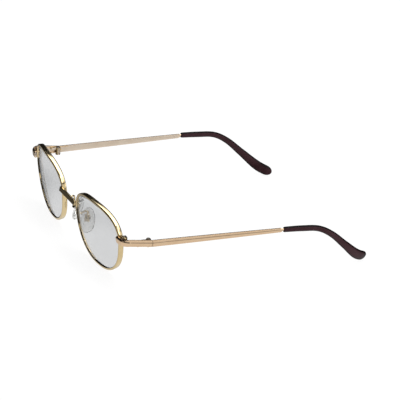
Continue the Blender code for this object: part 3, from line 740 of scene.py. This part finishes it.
def make_lens(name, side):
    """A meniscus with a V bevel that sits in the rim's groove."""
    outline = rim_outline(LENS_STEPS)
    edge = inset(outline, RIM_WALL + LENS_EDGE_GAP)
    apex = inset(outline, RIM_WALL - GROOVE_DEPTH + LENS_APEX_GAP)
    mid = RIM_DEPTH / 2
    front = mid - LENS_THICKNESS / 2
    back = front + LENS_THICKNESS
    bevel = GROOVE_DEPTH * LENS_BEVEL_SHARE
    shares = [(i / LENS_RINGS) ** LENS_RING_POWER for i in range(1, LENS_RINGS)]
    shares += [LENS_EASE_FROM, 1.0]
    eases = [0.0] * LENS_RINGS + [LENS_EASE]
    rows = [[on_front(p, front + ease) for p in edge * share]
            for share, ease in zip(shares, eases)]
    rows.append([on_front(p, mid - bevel) for p in edge])
    rows.append([on_front(p, mid) for p in apex])
    rows.append([on_front(p, mid + bevel) for p in edge])
    rows += [[on_front(p, back - ease) for p in edge * share]
             for share, ease in zip(reversed(shares), reversed(eases))]
    verts, faces = loft(rows)
    faces = faces[:-2]
    last = len(verts) - LENS_STEPS
    front_middle, back_middle = len(verts), len(verts) + 1
    verts += [on_front((0, 0), front), on_front((0, 0), back)]
    for j in range(LENS_STEPS):
        k = (j + 1) % LENS_STEPS
        faces.append((front_middle, j, k))
        faces.append((back_middle, last + k, last + j))
    add_piece(f"lens_clear_{name}", make_mesh("lens_clear", verts, faces, side), "lens",
              "front", [f"lens_{name}"], sharp_from=30)


# -------------------- front metalwork
def make_bridge():
    """A flat bar with small bevels in front, slightly arched, its ends flat on the rims."""
    half, front, back = BRIDGE_HEIGHT / 2, -BRIDGE_THICKNESS / 2, BRIDGE_THICKNESS / 2
    bevel = BRIDGE_BEVEL
    corners = [(back, -half), (back, half), (front + BRIDGE_LEAN + bevel, half),
               (front + BRIDGE_LEAN, half - bevel), (front, bevel - half), (front + bevel, -half)]
    section = rounded(corners, BRIDGE_CORNERS, steps=4)
    reaches = [BRIDGE_HALF_SPAN * share for share in np.linspace(-1, 1, BRIDGE_STEPS)]
    for step in BRIDGE_END_STEPS:
        reaches += [-BRIDGE_HALF_SPAN + step, BRIDGE_HALF_SPAN - step]
    rings = []
    for x in sorted(set(reaches)):
        arch = 1 - (x / BRIDGE_HALF_SPAN) ** 2
        y, z = BRIDGE_Y - BRIDGE_BULGE * arch, BRIDGE_Z + BRIDGE_RISE * arch
        fullness = round_share(BRIDGE_HALF_SPAN - abs(x), BRIDGE_END_ROUND, BRIDGE_END_SHARE)
        rings.append([(x, y + dy * fullness, z + dz * fullness) for dy, dz in section])
    add_piece("bridge_bar", make_mesh("bridge_bar", *loft(rings)), "gold", "front", ["bridge"])


def bar_section(height, thickness, drop=0.0, trim=0.0):
    """Outline as (outward, up): flat inside, two facets that meet in a soft ridge outside."""
    inner, high, low = -thickness / 2, height / 2 - trim, -height / 2 - drop
    edge = inner + BAR_EDGE * thickness / BAR_THICKNESS
    ridge = (thickness / 2, height * RIDGE_SHARE)
    corners = [(inner, low), (inner, high), (edge, high), ridge, (edge, low)]
    scale = height / BAR_HEIGHT
    return rounded(corners, [radius * scale for radius in BAR_CORNERS], steps=5)


def end_piece_line():
    """Centre line in plan: across the front, round the corner, back to the hinge."""
    corner = (BAR_X - CORNER_RADIUS, END_FRONT_Y + CORNER_BACK + CORNER_RADIUS)
    line = [(END_INNER_X + reach, END_FRONT_Y + END_SLOPE * reach) for reach in END_STARTS]
    for angle in np.linspace(CORNER_START, 0, CORNER_STEPS):
        line.append((corner[0] + CORNER_RADIUS * math.cos(angle),
                     corner[1] + CORNER_RADIUS * math.sin(angle)))
    line = smooth_line(line, END_STEPS)
    places = np.linspace(corner[1], JOINT_Y - JOINT_GAP, STRAIGHT_STEPS)[1:]
    return np.vstack([line, [(BAR_X, y) for y in places]])


def make_end_piece(name, side):
    """The bar from the rim round the corner to the hinge, deeper and trimmed at the front."""
    line = end_piece_line()
    rings = []
    for (x, y), (ax, ay) in zip(line, np.gradient(line, axis=0)):
        size = math.hypot(ax, ay)
        outward = (ay / size, -ax / size)
        taper = round_share(x - END_INNER_X, END_ROUND, END_TAPER)
        fade = max(0.0, 1 - (y - END_FRONT_Y) / CORNER_RADIUS)
        share = (y - END_FRONT_Y) / (JOINT_Y - END_FRONT_Y)
        sunk = max(0.0, share - LEVEL_SHARE) / (1 - LEVEL_SHARE)
        z = END_FRONT_Z + (JOINT_Z - END_FRONT_Z) * sunk
        section = bar_section(BAR_HEIGHT, BAR_THICKNESS, END_DROP * fade, END_TRIM * fade)
        rings.append([(x + outward[0] * out, y + outward[1] * out, z + up * taper)
                      for out, up in section])
    thing = add_piece(f"end_bar_{name}", make_mesh("end_bar", *loft(rings), side),
                      "gold_long", "front", [f"end_piece_{name}"], sharp_from=50)
    brush_inner_face(thing, side)


def make_lock(name, side):
    """The two halves of the rim lock and the screw that draws them together."""
    upper = (LOCK_SPLIT_Z + RIM_SPLIT_GAP / 2, LOCK_SPLIT_Z + LOCK_UPPER)
    lower = (LOCK_SPLIT_Z - LOCK_LOWER, LOCK_SPLIT_Z - RIM_SPLIT_GAP / 2)
    outline = circle((LOCK_X, LOCK_Y), LOCK_RADIUS, LOCK_SIDES, -math.pi / 2, math.pi)
    outline += [(LOCK_RIM_SIDE, LOCK_Y + LOCK_RADIUS), (LOCK_RIM_SIDE, LOCK_Y - LOCK_RADIUS)]
    for label, (low, high) in (("upper", upper), ("lower", lower)):
        block = make_mesh("lock_block", *prism(outline, low, high), side)
        block = bore(block, (LOCK_X, LOCK_Y), LOCK_SCREW_RADIUS, low, high, side)
        add_piece(f"lock_block_{label}_{name}", block, "gold", "front",
                  [f"rim_lock_{label}_{name}"], sharp_from=35, soften=0.3)
    make_screw(f"lock_screw_{name}", (LOCK_X, LOCK_Y), LOCK_SCREW_RADIUS, LOCK_HEAD_RADIUS,
               lower[0] + LOCK_SCREW_SHORT, upper[1] + RUN_GAP, LOCK_HEAD_HEIGHT, side,
               f"rim_lock_screw_{name}")


def make_screw(name, centre, radius, head_radius, low, seat, head_height, side, cad_node):
    """A slotted cheese-head screw that stands upright, with a domed head."""
    top = seat + head_height
    profile = [(radius * SCREW_TIP_SHARE, low), (radius, low + SCREW_CHAMFER), (radius, seat),
               (head_radius - HEAD_EASE, seat), (head_radius, seat + HEAD_EASE)]
    dome = head_height * DOME_SHARE
    for angle in np.linspace(0, math.pi / 2, DOME_STEPS):
        profile.append((head_radius * (DOME_FLAT + (1 - DOME_FLAT) * math.cos(angle)),
                        top - dome + dome * math.sin(angle) * DOME_FILL))
    profile.append((POINT_RADIUS, top))
    screw = make_mesh("screw", *turned(centre, profile), side)
    slot = rectangle((centre[0] - SLOT_HALF_WIDTH, centre[1] - SLOT_REACH),
                     (centre[0] + SLOT_HALF_WIDTH, centre[1] + SLOT_REACH))
    screw = cut(screw, prism(slot, top - SLOT_DEPTH, top + CUT_PAST), side)
    add_piece(name, screw, "steel", "front", [cad_node])


# -------------------- hinge
def leaf_plate(start, length):
    """A leaf's plate along the bar's inner face."""
    plate = rectangle((LEAF_OUT - LEAF_THICKNESS, start), (LEAF_OUT, start + length))
    return prism(plate, PIN_Z + LEAF_LOW, PIN_Z + LEAF_HIGH)


def make_front_leaf(name, side):
    """Two knuckles, above and below the temple's, on a plate."""
    plate_end = PIN_Y - KNUCKLE_RADIUS - LEAF_BEHIND
    leaf = make_mesh("hinge_front", *leaf_plate(plate_end - LEAF_LENGTH, LEAF_LENGTH), side)
    arm = rectangle((PIN_X - ARM_PAST_PIN, PIN_Y - KNUCKLE_RADIUS - ARM_REACH), (LEAF_OUT, PIN_Y))
    barrel = circle((PIN_X, PIN_Y), KNUCKLE_RADIUS)
    height = KNUCKLE_REACH - MIDDLE_REACH - RUN_GAP
    for base in (PIN_Z - KNUCKLE_REACH, PIN_Z + MIDDLE_REACH + RUN_GAP):
        leaf = join(leaf, prism(arm, max(base, PIN_Z + LEAF_LOW), base + height), side)
        leaf = join(leaf, prism(barrel, base, base + height), side)
    low, high = PIN_Z - KNUCKLE_REACH, PIN_Z + KNUCKLE_REACH
    leaf = bore(leaf, (PIN_X, PIN_Y), PIN_RADIUS, low, high, side)
    thing = add_piece(f"hinge_front_{name}", leaf, "gold", "front",
                      [f"hinge_front_leaf_{name}"], sharp_from=35, soften=0.1)
    brush_inner_face(thing, side)


def make_temple_leaf(name, side):
    """One knuckle between the front's two, on a plate along the temple."""
    start = JOINT_Y + JOINT_GAP
    leaf = make_mesh("hinge_rear", *leaf_plate(start, TEMPLE_LEAF_LENGTH), side)
    low, high = PIN_Z - MIDDLE_REACH, PIN_Z + MIDDLE_REACH
    arm = rectangle((PIN_X - TEMPLE_ARM_PAST_PIN, PIN_Y), (LEAF_OUT, start + TEMPLE_ARM_REACH))
    leaf = join(leaf, prism(arm, low, high), side)
    leaf = join(leaf, prism(circle((PIN_X, PIN_Y), KNUCKLE_RADIUS), low, high), side)
    leaf = bore(leaf, (PIN_X, PIN_Y), PIN_RADIUS, low, high, side)
    thing = add_piece(f"hinge_rear_{name}", leaf, "gold", f"temple_{name}",
                      [f"hinge_temple_leaf_{name}"], sharp_from=35, soften=0.08)
    brush_inner_face(thing, side)


# -------------------- temples
def make_temple(name, side):
    """A bar that tapers to a round end, and a thin core that goes on into the tip."""
    start = np.array((BAR_X, JOINT_Y + JOINT_GAP, JOINT_Z))
    end = np.array(METAL_END)
    length = np.linalg.norm(end - start)
    shares = list(np.linspace(0, 1, TEMPLE_STEPS))
    shares += [1 - step / length for step in TEMPLE_END_STEPS]
    rings = []
    for share in sorted(set(shares)):
        centre = start + (end - start) * share
        taper = share ** METAL_TAPER_POWER
        height = BAR_HEIGHT + (METAL_END_HEIGHT - BAR_HEIGHT) * taper
        thickness = BAR_THICKNESS + (METAL_END_THICKNESS - BAR_THICKNESS) * taper
        fullness = round_share((1 - share) * length, TEMPLE_END_ROUND, TEMPLE_END_SHARE)
        rings.append([(centre[0] + out * fullness, centre[1], centre[2] + up * fullness)
                      for out, up in bar_section(height, thickness)])
    bar = make_mesh("temple_metal", *loft(rings), side)
    tip_line = smooth_line(TIP_LINE, CORE_LINE_STEPS)[:CORE_RINGS, :3]
    line = np.vstack([end - np.array(CORE_ROOT), tip_line])
    radii = [CORE_RADIUS] * len(line)
    bar = join(bar, loft(oval_rings(line, radii, radii, WIRE_SIDES)), side)
    thing = add_piece(f"temple_metal_{name}", bar, "gold_long", f"temple_{name}",
                      [f"temple_bar_{name}"])
    brush_inner_face(thing, side)


def brush_inner_face(thing, side):
    """Gives the faces that look toward the middle of the glasses a satin finish."""
    thing.data.materials.append(LOOK["gold_satin"])
    for face in thing.data.polygons:
        if face.normal.x * side < BRUSHED_SLOPE:
            face.material_index = 1


def make_tip(name, side):
    """A soft-edged sleeve, round at its end, with a blind hole at its mouth for the core."""
    rows = smooth_line(TIP_LINE, TIP_STEPS)
    length = length_along(rows[:, :3])
    wanted = np.array(sorted([*length, *TIP_MOUTH_STEPS,
                              *(length[-1] - step for step in TIP_END_STEPS)]))
    rows = np.column_stack([np.interp(wanted, length, rows[:, k]) for k in range(5)])
    line, heights, widths = rows[:, :3], rows[:, 3] * TIP_FULLNESS, rows[:, 4] * TIP_FULLNESS
    for i, place in enumerate(wanted):
        mouth = round_share(place, TIP_MOUTH_ROUND, TIP_MOUTH_SHARE)
        rear = max(round_share(wanted[-1] - place, TIP_ROUND + TIP_END_EASE), TIP_END_LEAST)
        heights[i] *= mouth * rear
        widths[i] *= mouth * rear
    outer = oval_rings(line, heights, widths, TIP_SIDES, squareness=TIP_SQUARENESS)
    radii = [CORE_RADIUS + BORE_GAP] * BORE_RINGS
    inner = oval_rings(line[:BORE_RINGS], radii, radii, TIP_SIDES)
    sleeve = make_mesh("tip_sleeve", *loft(inner[::-1] + outer), side)
    add_piece(f"tip_sleeve_{name}", sleeve, "tip", f"temple_{name}",
              [f"temple_tip_{name}"], sharp_from=50)


# -------------------- nose pads
def pad_point(toward_nose, to_rear, upward):
    """A point in the left pad's own axes."""
    nose = Vector((-math.cos(PAD_SPLAY), math.sin(PAD_SPLAY), 0))
    rear = Vector((math.sin(PAD_SPLAY), math.cos(PAD_SPLAY), 0))
    up = Vector((0, 0, 1))
    nose, up = (nose * math.cos(PAD_FLARE) - up * math.sin(PAD_FLARE),
                up * math.cos(PAD_FLARE) + nose * math.sin(PAD_FLARE))
    return Vector(PAD_CENTRE) + nose * toward_nose + rear * to_rear + up * upward


def pad_block(low, high):
    """A block square to the pad's own axes, between two corners."""
    rings = []
    for upward in (low[2], high[2]):
        rings.append([pad_point(low[0], low[1], upward), pad_point(high[0], low[1], upward),
                      pad_point(high[0], high[1], upward), pad_point(low[0], high[1], upward)])
    return loft(rings)


def pad_pin_hole(reach):
    """A cutting bar for the pad screw's hole, along the pad's width."""
    ring = circle((PAD_PIN_AT, 0), PAD_PIN_RADIUS + RUN_GAP, WIRE_SIDES)
    return loft([[pad_point(x, to_rear, y) for x, y in ring] for to_rear in (-reach, reach)])


def make_pad(name, side):
    """The soft pad, its moulded insert, and the box, screw and wire that hold it."""
    turns = [2 * math.pi * i / PAD_SIDES for i in range(PAD_SIDES)]
    rings = []
    for angle in np.linspace(-PAD_LAST_RING, PAD_LAST_RING, PAD_RINGS):
        lift = math.sin(math.radians(angle))
        scale = math.cos(math.radians(angle)) ** PAD_ROUND_POWER
        height = PAD_THICKNESS * (0.5 + 0.5 * lift)
        half_width, half_length = PAD_WIDTH / 2 * scale, PAD_LENGTH / 2 * scale
        rings.append([pad_point(height,
                                half_width * math.cos(a) * (1 - PAD_NARROWING * math.sin(a)),
                                half_length * math.sin(a) - PAD_DROP) for a in turns])
    pad = make_mesh("pad_soft", *loft(rings), side)
    half_w, half_h = INSERT_WIDTH / 2, INSERT_HEIGHT / 2
    room = pad_block((-CUT_PAST, -half_w - POCKET_GAP, -half_h - POCKET_GAP),
                     (POCKET_DEPTH + POCKET_GAP, half_w + POCKET_GAP, half_h + POCKET_GAP))
    pad = cut(pad, room, side)
    body = f"pad_{name}"
    add_piece(f"pad_soft_{name}", pad, "silicone", body, [f"nose_pad_{name}"], sharp_from=45)
    stem = pad_block((-INSERT_REACH, -half_w, -half_h), (POCKET_DEPTH, half_w, half_h))
    insert = cut(make_mesh("pad_stem", *stem, side), pad_pin_hole(INSERT_CUT), side)
    add_piece(f"pad_stem_{name}", insert, "silicone", body, [f"pad_insert_{name}"],
              sharp_from=35, soften=0.1)
    make_pad_holder(name, side)
    make_pad_wire(name, side)


def make_pad_holder(name, side):
    """The open box that the pad's insert rocks in, and the screw through both."""
    half_w, half_h = INSERT_WIDTH / 2 + RUN_GAP, INSERT_HEIGHT / 2 + BOX_ROOM
    outside = half_w + BOX_WALL
    block = pad_block((BOX_BACK - BOX_WALL, -outside, -half_h - BOX_WALL),
                      (BOX_FRONT, outside, half_h + BOX_WALL))
    room = pad_block((BOX_BACK, -half_w, -half_h), (2 * CUT_PAST, half_w, half_h))
    box = cut(make_mesh("pad_holder", *block, side), room, side)
    box = cut(box, pad_pin_hole(BOX_CUT), side)
    add_piece(f"pad_holder_{name}", box, "gold", "front", [f"pad_box_{name}"],
              sharp_from=35, soften=0.12)
    head = outside + RUN_GAP
    profile = [(PAD_PIN_RADIUS * SCREW_TIP_SHARE, -outside),
               (PAD_PIN_RADIUS, -outside + PAD_PIN_CHAMFER), (PAD_PIN_RADIUS, head)]
    profile += [(radius, head + up) for radius, up in PAD_HEAD]
    rings = [[pad_point(PAD_PIN_AT + x, to_rear, y) for x, y in circle((0, 0), radius, HOLE_SIDES)]
             for radius, to_rear in profile]
    screw = make_mesh("pad_rivet", *loft(rings), side)
    slot = pad_block((PAD_PIN_AT - SLOT_REACH, head + PAD_SLOT_FLOOR, -PAD_SLOT_HALF_WIDTH),
                     (PAD_PIN_AT + SLOT_REACH, head + SLOT_REACH, PAD_SLOT_HALF_WIDTH))
    screw = cut(screw, slot, side)
    add_piece(f"pad_rivet_{name}", screw, "steel", "front", [f"pad_screw_{name}"])


def make_pad_wire(name, side):
    """From the rear of the rim's nose side, back and round to the pad box."""
    behind_box = BOX_BACK - BOX_WALL - ARM_RADIUS - TOUCH_GAP
    ends = [tuple(pad_point(behind_box + outward, 0, up)) for outward, up in ARM_ENDS]
    line = smooth_line([*ARM_START, *ends], ARM_STEPS)
    length = length_along(line)
    radii = []
    for place in length:
        foot = 1 + ARM_FOOT * max(0.0, 1 - place / ARM_FOOT_LENGTH) ** 2
        end = max(ARM_END_LEAST, round_share(length[-1] - place, ARM_END_ROUND))
        radii.append(ARM_RADIUS * foot * end)
    rings = oval_rings(line, radii, radii, WIRE_SIDES, (0.9, 0.3, 0.3))
    add_piece(f"pad_wire_{name}", make_mesh("pad_wire", *loft(rings), side), "gold", "front",
              [f"pad_arm_{name}"], sharp_from=50)


# -------------------- assembly
make_bridge()
for name, sign in (("left", 1), ("right", -1)):
    make_rim(name, sign)
    make_lens(name, sign)
    make_lock(name, sign)
    make_end_piece(name, sign)
    make_front_leaf(name, sign)
    make_temple_leaf(name, sign)
    make_screw(f"hinge_pin_{name}", (PIN_X, PIN_Y), PIN_RADIUS, HEAD_RADIUS,
               PIN_Z - KNUCKLE_REACH - PIN_TAIL, PIN_Z + KNUCKLE_REACH + RUN_GAP, HEAD_HEIGHT,
               sign, f"hinge_screw_{name}")
    make_temple(name, sign)
    make_tip(name, sign)
    make_pad(name, sign)


# -------------------- studio
def make_floor():
    """A pale floor, lit evenly enough to read as white."""
    mesh = bpy.data.meshes.new("floor")
    corners = rectangle((-FLOOR_HALF, -FLOOR_HALF), (FLOOR_HALF, FLOOR_HALF))
    mesh.from_pydata([(x, y, 0) for x, y in corners], [], [(0, 1, 2, 3)])
    floor = new_object("floor", mesh)
    floor.location.z = -FLOOR_DROP
    material, _, shader = new_material("floor_white")
    shader.inputs["Base Color"].default_value = (FLOOR_TONE, FLOOR_TONE, FLOOR_TONE, 1)
    shader.inputs["Specular IOR Level"].default_value = 0.0
    shader.inputs["Roughness"].default_value = 0.8
    shader.inputs["Emission Color"].default_value = (1, 1, 1, 1)
    shader.inputs["Emission Strength"].default_value = FLOOR_GLOW
    mesh.materials.append(material)
    floor.visible_glossy = False


def make_world():
    """Studio light by direction: white below, broad on one side, strips overhead, else dark.

    Each part is a share of the sphere, from x, y and z or angles in degrees, and its strength.
    """
    world = bpy.data.worlds.new("studio")
    bpy.context.scene.world = world
    world.use_nodes = True
    tree = world.node_tree
    background = tree.nodes["Background"]
    where = node(tree, "ShaderNodeTexCoord")
    split = node(tree, "ShaderNodeSeparateXYZ")
    link(tree, where.outputs["Generated"], split.inputs[0])
    x, y, z = split.outputs[0], split.outputs[1], split.outputs[2]

    flat = maths(tree, "ADD", maths(tree, "MULTIPLY", x, x), maths(tree, "MULTIPLY", y, y))
    flat = maths(tree, "MAXIMUM", maths(tree, "SQRT", flat), 0.001)

    def sector(azimuth, inner, outer):
        """1 within an angle of a compass direction, falling softly to 0."""
        a = math.radians(azimuth)
        dot = maths(tree, "MULTIPLY", x, math.cos(a))
        dot = maths(tree, "MULTIPLY_ADD", y, math.sin(a), dot)
        dot = maths(tree, "DIVIDE", dot, flat)
        return smooth_range(tree, dot, math.cos(math.radians(outer)), math.cos(math.radians(inner)))

    def between_of(value, low, high, soft):
        """1 where the value is between two others."""
        return maths(tree, "MULTIPLY", smooth_range(tree, value, low - soft, low + soft),
                     smooth_range(tree, value, high - soft, high + soft, 1.0, 0.0))

    def between(low, high, soft):
        """1 where the height is between two values."""
        return between_of(z, low, high, soft)

    def all_of(first, *others):
        """1 only where all of the shares are."""
        for other in others:
            first = maths(tree, "MULTIPLY", first, other)
        return first

    def rising(value, low, high):
        """0 below low and 1 above high; the other way round if low is the larger."""
        return smooth_range(tree, value, low, high)

    tall = math.radians(85)
    overhead = maths(tree, "MULTIPLY_ADD", z, math.sin(tall),
                     maths(tree, "MULTIPLY", x, math.cos(tall)))
    below = rising(z, -0.41, -0.5)
    high = rising(z, 0.47, 0.62)
    left, right = rising(x, 0.36, 0.3), rising(x, 0.27, 0.33)
    light_side = sector(8, 50, 68)
    behind = between_of(y, 0.33, 0.45, 0.02)
    across = maths(tree, "MULTIPLY_ADD", x, -0.22, y)
    strip = between_of(across, 0.13, 0.465, 0.03)
    right_strip = all_of(right, rising(x, 0.81, 0.77), rising(y, 0.43, 0.46))
    parts = (
        # the white sweep below, a little weaker to the far side
        (below, 0.9),
        (all_of(below, rising(x, -0.3, -0.6)), -0.14),
        (all_of(sector(-160, 19, 26), between(-0.42, -0.36, 0.03)), 0.5),
        # a broad light on the camera's side, with a dimmer panel behind the front
        (all_of(light_side, between(-0.46, -0.3, 0.05)), 0.6),
        (all_of(light_side, between(-0.3, 0.41, 0.05)), 0.88),
        (all_of(behind, light_side, between(-0.4, 0.05, 0.06)), -0.52),
        # faint fill from in front
        (all_of(sector(-70, 20, 34), between(-0.15, 0.3, 0.08)), 0.3),
        (all_of(sector(-150, 40, 60), between(-0.42, -0.1, 0.05)), 0.06),
        # slanted strips overhead, for the rims' white bands, and a panel beside them
        (all_of(high, left, strip), 3.2),
        (all_of(right_strip, strip, rising(z, 0.0, 0.1)), 3.0),
        (all_of(right, high, between_of(y, 0.05, 0.33, 0.03)), 2.8),
        (all_of(high, rising(across, 0.46, 0.5), rising(x, -0.4, 0.3)), 0.32),
        # a dark screen that the end pieces' fronts reflect
        (all_of(sector(-30, 33, 38), between(-0.52, 0.16, 0.06)), -0.86),
        # faint light behind the far side, and from almost straight above
        (all_of(behind, rising(x, -0.55, -0.7), between(0.2, 0.55, 0.05)), 0.16),
        (rising(overhead, math.cos(math.radians(34)), math.cos(math.radians(14))), 0.3),
    )
    total = AMBIENT
    for share, strength in parts:
        total = maths(tree, "MULTIPLY_ADD", share, strength, total)
    total = maths(tree, "MAXIMUM", total, DARKEST)
    background.inputs["Color"].default_value = (1, 1, 1, 1)
    link(tree, total, background.inputs["Strength"])


def make_camera():
    """A long lens, placed and rolled as the photo's outlines call for."""
    back = Vector((math.sin(CAMERA_AZIMUTH) * math.cos(CAMERA_ELEVATION),
                   -math.cos(CAMERA_AZIMUTH) * math.cos(CAMERA_ELEVATION),
                   math.sin(CAMERA_ELEVATION)))
    right = Vector((0, 0, 1)).cross(back).normalized()
    up = back.cross(right)
    right, up = (right * math.cos(CAMERA_ROLL) + up * math.sin(CAMERA_ROLL),
                 up * math.cos(CAMERA_ROLL) - right * math.sin(CAMERA_ROLL))
    data = bpy.data.cameras.new("camera")
    data.lens = CAMERA_LENS
    data.sensor_width = CAMERA_SENSOR
    data.clip_start, data.clip_end = 0.1, 50.0
    camera = new_object("camera", data)
    turn = Matrix((right, up, back)).transposed().to_4x4()
    camera.matrix_world = Matrix.Translation(Vector(CAMERA_PLACE)) @ turn
    bpy.context.scene.camera = camera


make_floor()
make_world()
make_camera()
bpy.context.scene.view_settings.view_transform = "Standard"

bpy.context.view_layer.update()
